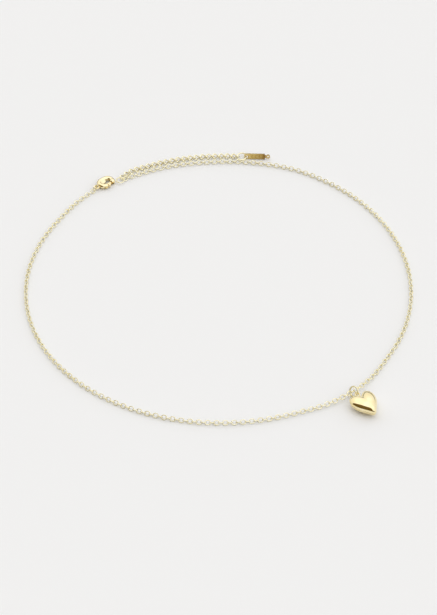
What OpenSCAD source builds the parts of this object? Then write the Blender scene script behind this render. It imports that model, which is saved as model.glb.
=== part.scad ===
// Pendant necklace laid flat in a ring: cable chain, puffed heart, lobster clasp,
// curb-link extender with end ring and blank tag. Millimetres, +Z up.
// Origin: centre of the neck loop on the surface the necklace lies on.

/* [Neck loop] */
// diameter of the laid-out neck loop, mm
loop_d = 126.6; // [110:0.2:150]
// direction of the pendant from the loop centre, degrees
pendant_a = -50.5; // [-90:0.5:0]
// outward pull of the pendant on the chain, mm
pull = 1.7; // [0:0.1:3]
// height the chain climbs over the pendant ring, mm
climb = 0.74; // [0.5:0.02:1]

/* [Cable chain] */
// distance from link to link, mm
pitch = 1.36; // [1.2:0.01:2]
// outside length of a link, mm
link_l = 1.98; // [1.8:0.01:3]
// outside width of a link, mm
link_w = 1.60; // [1.4:0.05:2]
// wire diameter of a link, mm
link_wire = 0.28; // [0.2:0.01:0.4]
// links on each side of the pendant in the first section
root_half = 8; // [6:1:12]
// links from the first section to the extender ring
right_links = 132; // [100:1:160]
// links from the first section to the clasp
left_links = 136; // [100:1:160]

/* [Extender] */
// distance from curb link to curb link, mm
curb_pitch = 2.18; // [2:0.02:3]
// outside length of a curb link, mm
curb_l = 3.13; // [2.8:0.02:4]
// width of the curb link before its twist, mm
curb_w = 2.00; // [1.8:0.05:3]
// wire diameter of a curb link, mm
curb_wire = 0.42; // [0.3:0.01:0.6]
// twist of each end of a curb link, degrees
curb_twist = 40; // [30:1:50]
// links in each of the four extender sections
curb_n = 5; // [4:1:8]
// wire diameter of the ring that joins chain and extender, mm
joiner_wire = 0.36; // [0.3:0.02:0.6]
// radius of the middle of that ring's wire, mm
joiner_r = 1.40; // [1:0.05:2]
// wire diameter of the end ring, mm
end_wire = 0.48; // [0.3:0.02:0.6]
// radius of the middle of the end ring's wire, mm
end_r = 1.55; // [1:0.05:2]

/* [Tag] */
// length of the blank tag, mm
tag_l = 9.0; // [6:0.1:12]
// width of the tag, mm
tag_w = 1.9; // [1.5:0.1:4]
// thickness of the tag, mm
tag_t = 0.5; // [0.4:0.05:1]
// direction of the tag, degrees
tag_dir = -2; // [-20:1:20]

/* [Pendant] */
// width of the puffed heart, mm
heart_w = 8.3; // [6:0.1:14]
// length of the puffed heart, mm
heart_l = 9.2; // [6:0.1:14]
// thickness of the puffed heart, mm
heart_t = 4.3; // [2:0.1:6]
// wall of the stamped shells, mm
heart_wall = 0.35; // [0.2:0.05:0.6]
// wire diameter of the pendant ring, mm
ring_wire = 0.50; // [0.3:0.02:0.8]
// radius of the middle of the pendant ring's wire, mm
ring_r = 1.60; // [1.4:0.02:2.4]
// lean of the pendant ring along the chain, degrees
ring_lean = 30; // [0:1:45]

/* [Clasp] */
// half width of the claw to the middle of its wire, mm
claw_r = 1.70; // [1.4:0.05:2.2]
// thickness of the claw, mm
claw_wire = 1.70; // [1:0.05:2]
// straight length of the claw's back, mm
claw_s = 1.4; // [1.2:0.1:5]
// thickness of the sprung lever, mm
lever_wire = 0.90; // [0.6:0.05:1.2]
// diameter of the lever pin, mm
pin_d = 0.44; // [0.3:0.02:0.6]
// radial play of the lever on its pin, mm
pin_play = 0.03; // [0.02:0.01:0.08]
// radius of the middle of the tail ring's wire, mm
tail_r = 1.05; // [0.8:0.05:1.6]
// wire diameter of the tail ring, mm
tail_wire = 0.35; // [0.25:0.01:0.5]

/* [Hidden] */
gold = [0.93, 0.80, 0.45];
knuckle = 1.10;
right_secs = 8;
left_secs = 8;
chain_z = (link_w - link_wire) / 2 * sin(45) + link_wire / 2 + 0.003;
curb_z = (curb_w - curb_wire) / 2 * sin(curb_twist) + curb_wire / 2 + 0.003;
link_a = (link_l - link_wire) / 2;
curb_a = (curb_l - curb_wire) / 2;
bulge_deg = 20;
tail_a = -229;
climb_deg = 13;

// small irregularity of a chain laid down by hand, plus the pull of the pendant
function hill(a, mid, w) = abs(a - mid) < w ? pow(cos(90 * (a - mid) / w), 2) : 0;
function bump(a, w) = hill(a, pendant_a, w);
function near(a) = a > 129.5 ? a - 360 : a;
function sag(a) = 0.38 * cos(a) - 0.18 * sin(a) - 0.20 * cos(2 * a) + 0.20 * sin(2 * a)
                - 0.31 * cos(3 * a) - 0.12 * sin(3 * a) - 0.12 * cos(4 * a)
                - 0.07 * sin(4 * a) + 0.4 * hill(a, 65, 15) - 0.3 * hill(a, 92, 16);
function clasp_pull(a) = a < tail_a + 22 ? 1.2 * pow(cos(90 * min(1, (a - tail_a) / 22)), 2) : 0;
function loop_r(a) = loop_d / 2 + sag(a) + pull * bump(near(a), bulge_deg) + clasp_pull(a);
function loop_z(a) = chain_z + climb * bump(near(a), climb_deg);
function loop_p(a) = [loop_r(a) * cos(a), loop_r(a) * sin(a), loop_z(a)];

// centre angle of every link, walking away from the pendant in equal steps
function step_deg(a, s) = s * pitch / norm((loop_p(a + 0.5) - loop_p(a - 0.5)));
right_a = [for (i = 0, a = pendant_a; i <= root_half + right_links;
                a = a + step_deg(a + 0.6, 1), i = i + 1) a];
left_a = [for (i = 0, a = pendant_a; i <= root_half + left_links;
               a = a + step_deg(a - 0.6, -1), i = i + 1) a];
function link_at(k) = k >= 0 ? right_a[k] : left_a[-k];
function right_cut(i) = root_half + round(i * right_links / right_secs);
function left_cut(i) = root_half + round(i * left_links / left_secs);

// points where one chain section hooks the next
function cut_p(k0, k1) = (loop_p(link_at(k0)) + loop_p(link_at(k1))) / 2;

// end of the right arm, joining ring and start of the extender
end_k = root_half + right_links;
arm_p = loop_p(link_at(end_k));
arm_dir = link_at(end_k) + 90;
hook_in = link_wire / 2 + joiner_wire / 2 + 0.14;
join_turn = -8;
join_c = arm_p + (link_a - hook_in) * [cos(arm_dir), sin(arm_dir), 0]
       + joiner_r * [cos(arm_dir + join_turn), sin(arm_dir + join_turn), 0];
joiner_z = chain_z + 0.04;
join_e = join_c + joiner_r * [cos(arm_dir - 142), sin(arm_dir - 142), 0];
curb_in = curb_wire / 2 + joiner_wire / 2 + 0.20;
lead = [21, 13, 6, -2, -2];

// the extender walks back beside the chain on a wider circle
ext_r = 66.3;
ext_start = [join_e[0], join_e[1], curb_z];
ext_n = 4 * curb_n;
function ext_head(i) = atan2(ext_start[1], ext_start[0]) - 90 + (i < len(lead) ? lead[i] : 0)
                     - (i - 0.5) * curb_pitch / ext_r * 180 / PI;
function ext_p(i) = i == 0
  ? ext_start + (curb_a - curb_in) * [cos(ext_head(0)), sin(ext_head(0)), 0]
  : ext_p(i - 1) + curb_pitch * [cos((ext_head(i) + ext_head(i - 1)) / 2),
                                 sin((ext_head(i) + ext_head(i - 1)) / 2), 0];
end_dir = ext_head(ext_n - 1) - 2;
end_touch = ext_p(ext_n - 1) + (curb_a - curb_wire / 2 - end_wire / 2 - 0.21)
          * [cos(end_dir), sin(end_dir), 0];
end_c = end_touch + end_r * [cos(end_dir), sin(end_dir), 0];
tag_hole = 0.55;
tag_edge = 0.80;
end_z = curb_z + 0.04;
end_roll = 12;
tag_z = 1.0;
tag_roll = 75;
small_hole = 0.32;
tag_eye = 0.72;
tag_neck = 0.90;
tag_touch = end_c + end_r * [cos(tag_dir), sin(tag_dir), 0];

// end of the left arm, tail ring and clasp
tail_k = -(root_half + left_links);
tail_p = loop_p(link_at(tail_k));
tail_dir = link_at(tail_k) - 90;
tail_z = tail_r + tail_wire / 2 + 0.01;
tail_drop = tail_z - chain_z;
tail_turn = tail_dir + 17;
tail_c = tail_p + (link_a - 0.51) * [cos(tail_dir), sin(tail_dir), 0]
       + sqrt(tail_r * tail_r - tail_drop * tail_drop) * [cos(tail_turn), sin(tail_turn), 0];
claw_z = claw_wire / 2 + 0.02;
eye_r = 0.78;
eye_wire = 0.56;
claw_dir = tail_dir - 3;
eye_reach = sqrt(tail_r * tail_r - pow(tail_z - claw_z, 2));
eye_c = tail_c + (eye_reach - tail_wire / 2 - eye_wire / 2 - 0.10 + eye_r)
      * [cos(tail_turn), sin(tail_turn), 0];
claw_x = eye_r + claw_wire / 2 + claw_r - 0.15;
lever_x = claw_x - 0.42;
lever_y = -claw_r + 0.08;
slot_h = 0.80;
gate_a = -38;
web_t = 1.24;

// pendant group
pend_u = [cos(pendant_a), sin(pendant_a), 0];
ring_off = loop_r(pendant_a) + 0.42;
ring_z = ring_r * cos(ring_lean) + ring_wire / 2 + 0.01;
heart_z = heart_t / 2 + 0.02;
hang_p = (ring_off + ring_r) * pend_u;
heart_dir = pendant_a - 7.5;
bail_dir = pendant_a - 26;
bail_wire = 0.44;
bail_r = 0.64;
bail_z = ring_z + 0.08;
bail_0 = -ring_wire / 2 - bail_wire / 2 - 0.16;
bail_1 = 1.00;
bail_p = hang_p + bail_1 * [cos(bail_dir), sin(bail_dir), 0];
stem_l = 1.00;
stem_wire = 0.36;
cleft_gap = 0.03;
heart_p = bail_p + (stem_l + cleft_gap) * [cos(heart_dir), sin(heart_dir), 0];

// ---- building blocks ----
// flat wire ring lying in XY
module wire_ring(r, wire) {
  rotate_extrude($fn = 48)
    translate([r, 0])
      circle(d = wire, $fn = 24);
}

// half of a wire ring, bulging towards +X
module half_ring(r, wire) {
  rotate([0, 0, -90])
    rotate_extrude(angle = 180, $fn = 48)
      translate([r, 0])
        circle(d = wire, $fn = 24);
}

// round bar from one point to another
module bar(p, q, wire) {
  d = q - p;
  translate(p)
    rotate([0, acos(d[2] / norm(d)), atan2(d[1], d[0])])
      cylinder(d = wire, h = norm(d), $fn = 24);
}

// oval link along X, lying in XY
module oval_link(l, w, wire) {
  r = (w - wire) / 2;
  s = (l - w) / 2;
  for (m = [0, 1])
    mirror([m, 0, 0])
      translate([s, 0, 0])
        half_ring(r, wire);
  for (y = [-r, r])
    translate([-s, y, 0])
      rotate([0, 90, 0])
        cylinder(d = wire, h = 2 * s, $fn = 24);
}

// curb link: the two ends are twisted against each other
module curb_link() {
  r = (curb_w - curb_wire) / 2;
  s = (curb_l - curb_w) / 2;
  y = r * cos(curb_twist);
  z = r * sin(curb_twist);
  translate([s, 0, 0])
    rotate([-curb_twist, 0, 0])
      half_ring(r, curb_wire);
  translate([-s, 0, 0])
    rotate([curb_twist, 0, 0])
      mirror([1, 0, 0])
        half_ring(r, curb_wire);
  for (m = [-1, 1]) {
    bar([-s, m * y, m * z], [s, m * y, -m * z], curb_wire);
    for (e = [-1, 1])
      translate([e * s, m * y, -e * m * z])
        sphere(d = knuckle * curb_wire, $fn = 24);
  }
}

// one chain link in its place, rolled to alternate sides
module chain_link(k) {
  a = link_at(k);
  q = loop_p(a + 0.5) - loop_p(a - 0.5);
  translate(loop_p(a))
    rotate([0, -asin(q[2] / norm(q)), atan2(q[1], q[0])])
      rotate([k % 2 == 0 ? -45 : 45, 0, 0])
        oval_link(link_l, link_w, link_wire);
}

module chain_run(k0, k1) {
  color(gold)
    for (k = [k0:k1])
      chain_link(k);
}

module right_run(i) {
  chain_run(right_cut(i - 1) + 1, right_cut(i));
}

module left_run(i) {
  chain_run(-left_cut(i), -left_cut(i - 1) - 1);
}

module extender_run(i) {
  color(gold)
    for (k = [(i - 1) * curb_n:i * curb_n - 1])
      translate(ext_p(k))
        rotate([0, 0, ext_head(k)])
          curb_link();
}

// ---- chain ----
module chain_pendant_section() { chain_run(-root_half, root_half); }
module chain_right_1() { right_run(1); }
module chain_right_2() { right_run(2); }
module chain_right_3() { right_run(3); }
module chain_right_4() { right_run(4); }
module chain_right_5() { right_run(5); }
module chain_right_6() { right_run(6); }
module chain_right_7() { right_run(7); }
module chain_right_8() { right_run(8); }
module chain_left_1() { left_run(1); }
module chain_left_2() { left_run(2); }
module chain_left_3() { left_run(3); }
module chain_left_4() { left_run(4); }
module chain_left_5() { left_run(5); }
module chain_left_6() { left_run(6); }
module chain_left_7() { left_run(7); }
module chain_left_8() { left_run(8); }

// ---- pendant ----
module pendant_ring() {
  color(gold)
    translate(ring_off * pend_u + [0, 0, ring_z])
      rotate([0, 0, pendant_a])
        rotate([90 - ring_lean, 0, 0])
          wire_ring(ring_r, ring_wire);
}

module heart_bail() {
  mid = (bail_0 + bail_1) / 2;
  color(gold) {
    translate(hang_p + [0, 0, bail_z])
      rotate([0, 0, bail_dir])
        translate([mid, 0, 0])
          oval_link(bail_1 - bail_0 + bail_wire, 2 * bail_r + bail_wire, bail_wire);
    translate(bail_p + [0, 0, bail_z])
      rotate([0, 0, heart_dir])
        bar([0, 0, 0], [stem_l, 0, 0], stem_wire);
  }
}

// heart outline: cleft at the origin, tip towards +X
heart_k = 22;
heart_m = 7;
cleft = 0.127;
tip_round = 0.56;
function outline(t) = [heart_l * (0.0345 * (5 - 13 * cos(t) + 5 * cos(2 * t)
                       + 2 * cos(3 * t) + cos(4 * t)) + cleft * (1 - pow(cos(t / 2), 16))),
                       heart_w / 2 * ((1 - tip_round) * pow(sin(t), 3) + tip_round * sin(t))];
heart_mid = [0.50 * heart_l, 0];
function shell_pt(t, j, sc, h) = let (q = cos(90 * j / heart_m), o = outline(t),
    f = pow(q, 0.96) * sc)
    [heart_mid[0] + f * (o[0] - heart_mid[0]), f * o[1],
     h * pow(sin(90 * j / heart_m), 0.98)];

module heart_shell() {
  n = 2 * heart_k;
  m = heart_m;
  sc = 1 - 2 * heart_wall / heart_w;
  outer = [for (j = [0:m - 1], i = [0:n - 1])
           shell_pt((i + 0.5) * 360 / n, j, 1, heart_t / 2)];
  inner = [for (j = [0:m - 1], i = [0:n - 1])
           shell_pt((i + 0.5) * 360 / n, j, sc, heart_t / 2 - heart_wall)];
  top = [[heart_mid[0], 0, heart_t / 2], [heart_mid[0], 0, heart_t / 2 - heart_wall]];
  b = n * m;
  skin = [for (j = [0:m - 2], i = [0:n - 1], s = [0, 1])
          let (p = j * n + i, q = j * n + (i + 1) % n)
          s == 0 ? [p, p + n, q + n] : [p, q + n, q]];
  lining = [for (f = skin) [f[2] + b, f[1] + b, f[0] + b]];
  cap = [for (i = [0:n - 1]) [(m - 1) * n + i, 2 * b, (m - 1) * n + (i + 1) % n]];
  cap_in = [for (i = [0:n - 1])
            [b + (m - 1) * n + (i + 1) % n, 2 * b + 1, b + (m - 1) * n + i]];
  rim = [for (i = [0:n - 1], s = [0, 1])
         let (q = (i + 1) % n)
         s == 0 ? [i, q, b + q] : [i, b + q, b + i]];
  polyhedron(points = concat(outer, inner, top),
             faces = concat(skin, lining, cap, cap_in, rim));
}

module heart_front_shell() {
  color(gold)
    translate(heart_p + [0, 0, heart_z + 0.01])
      rotate([0, 0, heart_dir])
        heart_shell();
}

module heart_back_shell() {
  color(gold)
    translate(heart_p + [0, 0, heart_z - 0.01])
      rotate([0, 0, heart_dir])
        rotate([180, 0, 0])
          heart_shell();
}

// ---- extender ----
module joining_ring() {
  color(gold)
    translate([join_c[0], join_c[1], joiner_z])
      wire_ring(joiner_r, joiner_wire);
}

module extender_1() { extender_run(1); }
module extender_2() { extender_run(2); }
module extender_3() { extender_run(3); }
module extender_4() { extender_run(4); }

module end_ring() {
  color(gold)
    translate([end_c[0], end_c[1], end_z])
      rotate([0, 0, end_dir])
        rotate([end_roll, 0, 0])
          wire_ring(end_r, end_wire);
}

module blank_tag() {
  far = tag_l - tag_edge - tag_eye;
  color(gold)
    translate([tag_touch[0], tag_touch[1], tag_z])
      rotate([0, 0, tag_dir])
        rotate([tag_roll, 0, 0])
          translate([0.17, 0, -tag_t / 2])
            linear_extrude(tag_t)
              difference() {
                union() {
                  translate([-tag_edge, -tag_w / 2])
                    square([far + tag_edge - 1.1, tag_w]);
                  translate([far - 1.3, -tag_neck / 2])
                    square([1.3, tag_neck]);
                  translate([far, 0])
                    circle(r = tag_eye, $fn = 48);
                }
                translate([0, -0.22])
                  circle(r = tag_hole, $fn = 32);
                translate([far, 0])
                  circle(r = small_hole, $fn = 32);
              }
}

// ---- clasp ----
module in_clasp() {
  translate([eye_c[0], eye_c[1], claw_z])
    rotate([0, 0, claw_dir])
      children();
}

module arc(r, wire, a0, a1) {
  rotate([0, 0, a0])
    rotate_extrude(angle = a1 - a0, $fn = 64)
      translate([r, 0])
        circle(d = wire, $fn = 32);
}

module tail_ring() {
  color(gold)
    translate([tail_c[0], tail_c[1], tail_z])
      rotate([0, 0, tail_turn])
        rotate([90, 0, 0])
          wire_ring(tail_r, tail_wire);
}

module clasp_body() {
  color(gold)
    in_clasp()
      difference() {
        union() {
          translate([claw_x, 0, 0])
            arc(claw_r, claw_wire, 90, 270);
          bar([claw_x, claw_r, 0], [claw_x + claw_s, claw_r, 0], claw_wire);
          translate([claw_x + claw_s, 0, 0])
            arc(claw_r, claw_wire, gate_a, 90);
          translate([claw_x + claw_s + claw_r * cos(gate_a), claw_r * sin(gate_a), 0])
            sphere(d = 1.16 * claw_wire, $fn = 32);
          translate([claw_x, 0, -web_t / 2])
            linear_extrude(web_t)
              polygon([[-1.7, 1.2], [0.75, 1.2], [0.75, 0.15], [0.35, -0.35],
                       [-1.2, -0.75], [-1.7, -0.3]]);
          wire_ring(eye_r, eye_wire);
        }
        translate([lever_x - 0.95, lever_y - 1.2, -slot_h / 2])
          cube([4, 1.9, slot_h]);
        translate([lever_x - 0.15, lever_y, -2])
          cylinder(d = pin_d, h = 4, $fn = 32);
      }
}

module clasp_pin() {
  color(gold)
    in_clasp()
      translate([lever_x - 0.15, lever_y, -claw_wire / 2 + 0.04])
        cylinder(d = pin_d, h = claw_wire - 0.08, $fn = 32);
}

module clasp_lever() {
  tip = claw_x + claw_s + claw_r * cos(gate_a) - claw_wire / 2 - 0.62;
  color(gold)
    in_clasp()
      difference() {
        union() {
          translate([lever_x - 0.15, lever_y, -0.36])
            linear_extrude(0.42)
              union() {
                circle(d = 1.0, $fn = 32);
                translate([0, -0.3])
                  square([1.3, 0.6]);
              }
          translate([0, lever_y, -lever_wire / 2])
            linear_extrude(lever_wire)
              union() {
                translate([lever_x + 0.85, -lever_wire / 2])
                  square([tip - lever_x - 0.85, lever_wire]);
                translate([tip, 0])
                  circle(d = lever_wire, $fn = 32);
                translate([lever_x + 1.20, -0.50])
                  circle(d = 0.8, $fn = 32);
              }
        }
        translate([lever_x - 0.15, lever_y, -1])
          cylinder(d = pin_d + 2 * pin_play, h = 2, $fn = 32);
      }
}

module clasp_spring() {
  color([0.8, 0.8, 0.82])
    in_clasp()
      for (z = [0.15, 0.31])
        translate([lever_x - 0.15, lever_y, z])
          wire_ring(0.34, 0.12);
}

// ---- choose what is drawn ----
chain_pendant_section();
chain_right_1();
chain_right_2();
chain_right_3();
chain_right_4();
chain_right_5();
chain_right_6();
chain_right_7();
chain_right_8();
chain_left_1();
chain_left_2();
chain_left_3();
chain_left_4();
chain_left_5();
chain_left_6();
chain_left_7();
chain_left_8();
pendant_ring();
heart_bail();
heart_front_shell();
heart_back_shell();
joining_ring();
extender_1();
extender_2();
extender_3();
extender_4();
end_ring();
blank_tag();
tail_ring();
clasp_body();
clasp_lever();
clasp_pin();
clasp_spring();
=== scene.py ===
import math

import bpy
from mathutils import Matrix, Vector


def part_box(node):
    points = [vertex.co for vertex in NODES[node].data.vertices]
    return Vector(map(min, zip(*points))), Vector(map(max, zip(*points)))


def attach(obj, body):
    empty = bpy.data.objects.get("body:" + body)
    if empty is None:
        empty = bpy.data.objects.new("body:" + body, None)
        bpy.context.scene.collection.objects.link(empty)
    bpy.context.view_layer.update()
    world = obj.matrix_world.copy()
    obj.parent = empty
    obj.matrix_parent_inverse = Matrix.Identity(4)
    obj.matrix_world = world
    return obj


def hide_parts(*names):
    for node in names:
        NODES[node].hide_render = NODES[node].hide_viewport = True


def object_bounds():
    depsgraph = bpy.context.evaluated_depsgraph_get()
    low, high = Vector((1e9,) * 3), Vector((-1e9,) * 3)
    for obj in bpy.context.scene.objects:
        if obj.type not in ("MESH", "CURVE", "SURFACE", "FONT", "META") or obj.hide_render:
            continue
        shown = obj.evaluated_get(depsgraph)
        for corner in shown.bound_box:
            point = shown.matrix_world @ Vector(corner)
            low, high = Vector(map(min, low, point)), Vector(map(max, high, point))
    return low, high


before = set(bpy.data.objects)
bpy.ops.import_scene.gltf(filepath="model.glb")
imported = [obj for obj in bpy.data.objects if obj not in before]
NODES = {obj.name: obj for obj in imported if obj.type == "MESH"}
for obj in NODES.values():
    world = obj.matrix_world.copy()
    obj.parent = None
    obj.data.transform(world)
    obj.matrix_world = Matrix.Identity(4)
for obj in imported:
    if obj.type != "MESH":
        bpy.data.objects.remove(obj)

CAD_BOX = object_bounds()
scene = bpy.context.scene

# ---------------------------------------------------------------- camera
ELEVATION = math.radians(43.0)
DISTANCE = 0.700
LENS = 126.4
SENSOR_WIDTH = 36.0
CLIP_START = 0.01
TARGET = Vector((0.00007, -0.0110, 0.0))

cam_data = bpy.data.cameras.new("camera")
cam_data.lens = LENS
cam_data.sensor_width = SENSOR_WIDTH
cam_data.clip_start = CLIP_START
cam = bpy.data.objects.new("camera", cam_data)
cam.location = TARGET + DISTANCE * Vector((0, -math.cos(ELEVATION), math.sin(ELEVATION)))
cam.rotation_euler = (math.pi / 2 - ELEVATION, 0, 0)
scene.collection.objects.link(cam)
scene.camera = cam


# ---------------------------------------------------------------- node helpers
def ramp(nt, fac, stops):
    """Colour ramp through (position, colour) stops."""
    r = nt.nodes.new("ShaderNodeValToRGB")
    elements = r.color_ramp.elements
    for element, (position, colour) in zip(elements, (stops[0], stops[-1])):
        element.position = position
        element.color = (*colour, 1)
    for position, colour in stops[1:-1]:
        elements.new(position).color = (*colour, 1)
    nt.links.new(fac, r.inputs["Fac"])
    return r.outputs["Color"]


def noise(nt, coord, scale, detail, rough=0.5):
    n = nt.nodes.new("ShaderNodeTexNoise")
    n.inputs["Scale"].default_value = scale
    n.inputs["Detail"].default_value = detail
    n.inputs["Roughness"].default_value = rough
    nt.links.new(coord, n.inputs["Vector"])
    return n.outputs["Fac"]


def map_range(nt, value, source=(0.0, 1.0), target=(0.0, 1.0), smooth=False):
    """Value taken from the source range to the target range."""
    m = nt.nodes.new("ShaderNodeMapRange")
    if smooth:
        m.interpolation_type = "SMOOTHSTEP"
    m.inputs["From Min"].default_value, m.inputs["From Max"].default_value = source
    m.inputs["To Min"].default_value, m.inputs["To Max"].default_value = target
    nt.links.new(value, m.inputs["Value"])
    return m.outputs["Result"]


def combine(nt, operation, a, b):
    m = nt.nodes.new("ShaderNodeMath")
    m.operation = operation
    nt.links.new(a, m.inputs[0])
    nt.links.new(b, m.inputs[1])
    return m.outputs[0]


def tinted(nt, a, b):
    """Two colours multiplied."""
    m = nt.nodes.new("ShaderNodeMix")
    m.data_type = "RGBA"
    m.blend_type = "MULTIPLY"
    m.inputs["Factor"].default_value = 1.0
    nt.links.new(a, m.inputs["A"])
    nt.links.new(b, m.inputs["B"])
    return m.outputs["Result"]


# ---------------------------------------------------------------- materials
WHITE = (1.0, 1.0, 1.0)
# pairs of the low and high tone of each finish
GOLD = ((0.94, 0.79, 0.43), (0.99, 0.88, 0.57))
CAST_GOLD = ((0.91, 0.77, 0.44), (0.98, 0.88, 0.59))
WIRE_GOLD = ((0.96, 0.87, 0.55), (1.0, 0.95, 0.71))
STEEL = ((0.55, 0.55, 0.57), (0.68, 0.68, 0.70))
# painted shade: darker tints where the surface turns away from view
OLIVE_RIM_PAINTED_SHADE = (0.30, 0.24, 0.12)
DARK_RIM_PAINTED_SHADE = (0.12, 0.09, 0.04)
RIM_SHADE_START = 0.42
RIM_SHADE_FULL = 0.88
# cloudy tone, uneven polish and fine marks
CLOUD_SCALE = 420.0
CLOUD_LOW = 0.3
CLOUD_HIGH = 0.7
FINE_MARKS = 2.4
MARK_DEPTH = 0.00002


def metal(name, tones, rough, bump, mark_scale, rim_painted_shade=WHITE):
    """Polished plated metal: cloudy tone, uneven polish, fine handling marks and a painted shade
    on the rim where the surface turns from view.
    """
    mat = bpy.data.materials.new(name)
    mat.use_nodes = True
    nt = mat.node_tree
    bsdf = nt.nodes["Principled BSDF"]
    bsdf.inputs["Metallic"].default_value = 1.0
    coord = nt.nodes.new("ShaderNodeTexCoord").outputs["Object"]
    cloud = noise(nt, coord, CLOUD_SCALE, 2.0)
    tone = ramp(nt, cloud, [(CLOUD_LOW, tones[0]), (CLOUD_HIGH, tones[1])])
    # painted rim shade: the tone is multiplied towards the rim colour where the surface turns
    # from view
    facing = nt.nodes.new("ShaderNodeLayerWeight")
    facing.inputs["Blend"].default_value = 0.5
    rim = ramp(nt, facing.outputs["Facing"], [(RIM_SHADE_START, WHITE), (RIM_SHADE_FULL, rim_painted_shade)])
    nt.links.new(tinted(nt, tone, rim), bsdf.inputs["Base Color"])
    polish = noise(nt, coord, mark_scale, 4.0, 0.6)
    nt.links.new(map_range(nt, polish, target=rough), bsdf.inputs["Roughness"])
    marks = noise(nt, coord, mark_scale * FINE_MARKS, 5.0, 0.65)
    relief = nt.nodes.new("ShaderNodeBump")
    relief.inputs["Strength"].default_value = bump
    relief.inputs["Distance"].default_value = MARK_DEPTH
    nt.links.new(marks, relief.inputs["Height"])
    nt.links.new(relief.outputs["Normal"], bsdf.inputs["Normal"])
    return mat


gold_heart = metal("gold_heart", GOLD, rough=(0.02, 0.06), bump=0.05, mark_scale=900.0)
gold_chain = metal("gold_chain", WIRE_GOLD, rough=(0.05, 0.12), bump=0.15,
                   mark_scale=1800.0, rim_painted_shade=DARK_RIM_PAINTED_SHADE)
gold_curb = metal("gold_curb", WIRE_GOLD, rough=(0.06, 0.14), bump=0.15,
                  mark_scale=1800.0, rim_painted_shade=OLIVE_RIM_PAINTED_SHADE)
gold_cast = metal("gold_cast", CAST_GOLD, rough=(0.03, 0.09), bump=0.12,
                  mark_scale=1200.0, rim_painted_shade=OLIVE_RIM_PAINTED_SHADE)
gold_tag = metal("gold_tag", GOLD, rough=(0.16, 0.22), bump=0.02, mark_scale=1500.0)
spring_steel = metal("spring_steel", STEEL, rough=(0.20, 0.32), bump=0.15, mark_scale=1500.0)

# painted reflection: tints from the hung end of the tag to its free end
TAG_PAINTED_REFLECTION = [
    (0.0, (0.80, 0.74, 0.60)),
    (0.35, (0.66, 0.58, 0.40)),
    (0.68, (0.50, 0.40, 0.24)),
    (0.80, (0.32, 0.22, 0.11)),
    (0.88, (0.82, 0.74, 0.62)),
    (1.0, (0.66, 0.58, 0.48)),
]


def paint_reflection_along_tag(mat):
    """Painted reflection: the flat tag is darker towards its free end, with a pale eye."""
    nt = mat.node_tree
    base = nt.nodes["Principled BSDF"].inputs["Base Color"]
    tone = base.links[0].from_socket
    parts = nt.nodes.new("ShaderNodeSeparateXYZ")
    nt.links.new(nt.nodes.new("ShaderNodeTexCoord").outputs["Object"], parts.inputs[0])
    low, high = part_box("blank_tag")
    along = map_range(nt, parts.outputs["X"], source=(low[0], high[0]))
    nt.links.new(tinted(nt, tone, ramp(nt, along, TAG_PAINTED_REFLECTION)), base)


paint_reflection_along_tag(gold_tag)


def material_for(name):
    if name.startswith("chain_") or name in ("tail_ring", "pendant_ring"):
        return gold_chain
    if name.startswith("extender_") or name.endswith("_ring"):
        return gold_curb
    if name == "clasp_spring":
        return spring_steel
    if name == "blank_tag":
        return gold_tag
    return gold_cast


def shade_smooth(mesh):
    for poly in mesh.polygons:
        poly.use_smooth = True


for name, obj in NODES.items():
    materials = obj.data.materials
    if not materials:
        materials.append(None)
    for i in range(len(materials)):
        materials[i] = material_for(name)
    shade_smooth(obj.data)

# ---------------------------------------------------------------- heart
# the same form as the CAD shells, as a fine smooth skin
HEART_W = 0.0083
HEART_L = 0.0092
HEART_T = 0.0043
HEART_WALL = 0.00035
CLEFT = 0.127
CLEFT_SHARPNESS = 16
TIP_ROUND = 0.56
OUTLINE_SCALE = 0.0345
OUTLINE_COSINES = (5, -13, 5, 2, 1)
DOME_SPREAD = 0.96
DOME_RISE = 0.98
HEADING = math.radians(-58.0)
AROUND = 144
RINGS = 40


def outline(t):
    """Heart outline: the cleft at t = 0 and the tip at t = pi."""
    curve = sum(c * math.cos(n * t) for n, c in enumerate(OUTLINE_COSINES))
    cleft = CLEFT * (1 - math.cos(t / 2) ** CLEFT_SHARPNESS)
    x = HEART_L * (OUTLINE_SCALE * curve + cleft)
    y = (1 - TIP_ROUND) * math.sin(t) ** 3 + TIP_ROUND * math.sin(t)
    return x, HEART_W / 2 * y


def dome(scale, half):
    """Rings of points from the seam up to the crown, and the crown itself."""
    mid = 0.5 * HEART_L
    points = []
    for j in range(RINGS):
        a = math.pi / 2 * j / RINGS
        f = math.cos(a) ** DOME_SPREAD * scale
        z = half * math.sin(a) ** DOME_RISE
        for i in range(AROUND):
            x, y = outline((i + 0.5) * 2 * math.pi / AROUND)
            points.append((mid + f * (x - mid), f * y, z))
    return points + [(mid, 0.0, half)]


def shell_mesh(name):
    """A closed shell: an outer and an inner dome, joined by the rim of the seam."""
    outer = dome(1.0, HEART_T / 2)
    inner = dome(1 - 2 * HEART_WALL / HEART_W, HEART_T / 2 - HEART_WALL)
    faces = []
    for start, step in ((0, 1), (len(outer), -1)):
        crown = start + RINGS * AROUND
        for i in range(AROUND):
            k = (i + 1) % AROUND
            for ring in range(start, crown - AROUND, AROUND):
                quad = [ring + i, ring + k, ring + AROUND + k, ring + AROUND + i]
                faces.append(quad[::step])
            faces.append([crown - AROUND + i, crown - AROUND + k, crown][::step])
    for i in range(AROUND):
        k = (i + 1) % AROUND
        faces.append([len(outer) + i, len(outer) + k, k, i])
    me = bpy.data.meshes.new(name)
    me.from_pydata(outer + inner, [], faces)
    me.validate()
    me.update()
    return me


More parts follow.
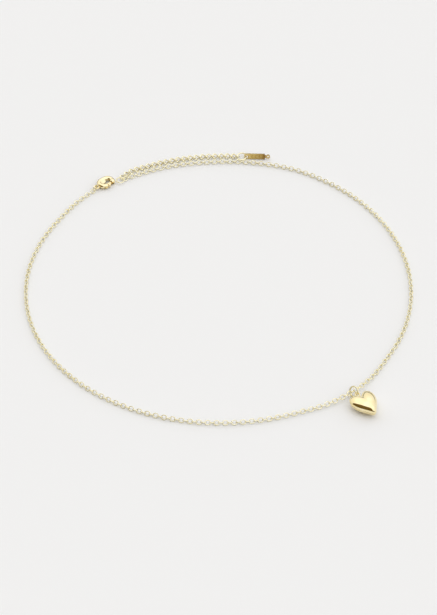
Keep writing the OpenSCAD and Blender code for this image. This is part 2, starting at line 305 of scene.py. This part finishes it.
def heart_half(name, node, flip):
    me = shell_mesh(name)
    turn = Matrix.Rotation(HEADING, 4, "Z")
    if flip:
        turn = turn @ Matrix.Rotation(math.pi, 4, "X")
    me.transform(turn)
    low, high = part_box(node)
    axes = list(zip(*(v.co for v in me.vertices)))
    ends = Vector([min(axis) + max(axis) for axis in axes])
    me.transform(Matrix.Translation((low + high - ends) / 2))
    shade_smooth(me)
    obj = bpy.data.objects.new(name, me)
    scene.collection.objects.link(obj)
    obj.data.materials.append(gold_heart)
    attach(obj, "heart")
    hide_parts(node)


heart_half("heart_front_skin", "heart_front_shell", False)
heart_half("heart_back_skin", "heart_back_shell", True)

# ---------------------------------------------------------------- floor
FLOOR_HALF = 3.0
FLOOR_GAP = 0.00002
FLOOR_TONE = 0.875

floor_me = bpy.data.meshes.new("floor")
floor_me.from_pydata([(-FLOOR_HALF, -FLOOR_HALF, 0), (FLOOR_HALF, -FLOOR_HALF, 0),
                      (FLOOR_HALF, FLOOR_HALF, 0), (-FLOOR_HALF, FLOOR_HALF, 0)],
                     [], [(0, 1, 2, 3)])
floor = bpy.data.objects.new("floor", floor_me)
floor.location.z = CAD_BOX[0][2] - FLOOR_GAP
scene.collection.objects.link(floor)
paper = bpy.data.materials.new("paper")
paper.use_nodes = True
paper_bsdf = paper.node_tree.nodes["Principled BSDF"]
paper_bsdf.inputs["Base Color"].default_value = (FLOOR_TONE, FLOOR_TONE, FLOOR_TONE, 1)
paper_bsdf.inputs["Roughness"].default_value = 1.0
paper_bsdf.inputs["Specular IOR Level"].default_value = 0.0
floor.data.materials.append(paper)

# ---------------------------------------------------------------- light
# a pale studio all round, with dark furniture to the front left, an unlit strip low in
# front and a dim back horizon
FURNITURE = Vector((-0.78, -0.55, 0.29)).normalized()
FURNITURE_INNER = math.radians(38.0)
FURNITURE_OUTER = math.radians(41.0)
DARK_TINT = (0.14, 0.095, 0.03)
BACK_STRENGTH = 0.25
SKY_STRENGTH = (0.95, 1.25)

world = bpy.data.worlds.new("studio")
scene.world = world
world.use_nodes = True
wt = world.node_tree
wt.nodes.clear()
out = wt.nodes.new("ShaderNodeOutputWorld")
studio = wt.nodes.new("ShaderNodeBackground")
wt.links.new(studio.outputs[0], out.inputs[0])
direction = wt.nodes.new("ShaderNodeTexCoord").outputs["Generated"]
sep = wt.nodes.new("ShaderNodeSeparateXYZ")
wt.links.new(direction, sep.inputs[0])


def fade(value, source, target=(0.0, 1.0)):
    return map_range(wt, value, source, target, smooth=True)


towards = wt.nodes.new("ShaderNodeVectorMath")
towards.operation = "DOT_PRODUCT"
wt.links.new(direction, towards.inputs[0])
towards.inputs[1].default_value = FURNITURE
side_dark = fade(towards.outputs["Value"], (math.cos(FURNITURE_OUTER), math.cos(FURNITURE_INNER)))
front_dark = combine(wt, "MULTIPLY", fade(sep.outputs["Y"], (-0.90, -0.80), (1.0, 0.0)),
                     fade(sep.outputs["Z"], (0.25, 0.45), (1.0, 0.0)))
dark = combine(wt, "MAXIMUM", side_dark, front_dark)
back_low = combine(wt, "MULTIPLY", fade(sep.outputs["Y"], (0.55, 0.85)),
                   fade(sep.outputs["Z"], (0.05, 0.25), (1.0, 0.0)))
keep_back = fade(back_low, (0.0, 1.0), (1.0, BACK_STRENGTH))
sky = fade(sep.outputs["Z"], (0.2, 0.9), SKY_STRENGTH)
wt.links.new(combine(wt, "MULTIPLY", keep_back, sky), studio.inputs["Strength"])
wt.links.new(ramp(wt, dark, [(0.0, WHITE), (1.0, DARK_TINT)]), studio.inputs["Color"])

scene.view_settings.view_transform = "Standard"
scene.view_settings.look = "None"
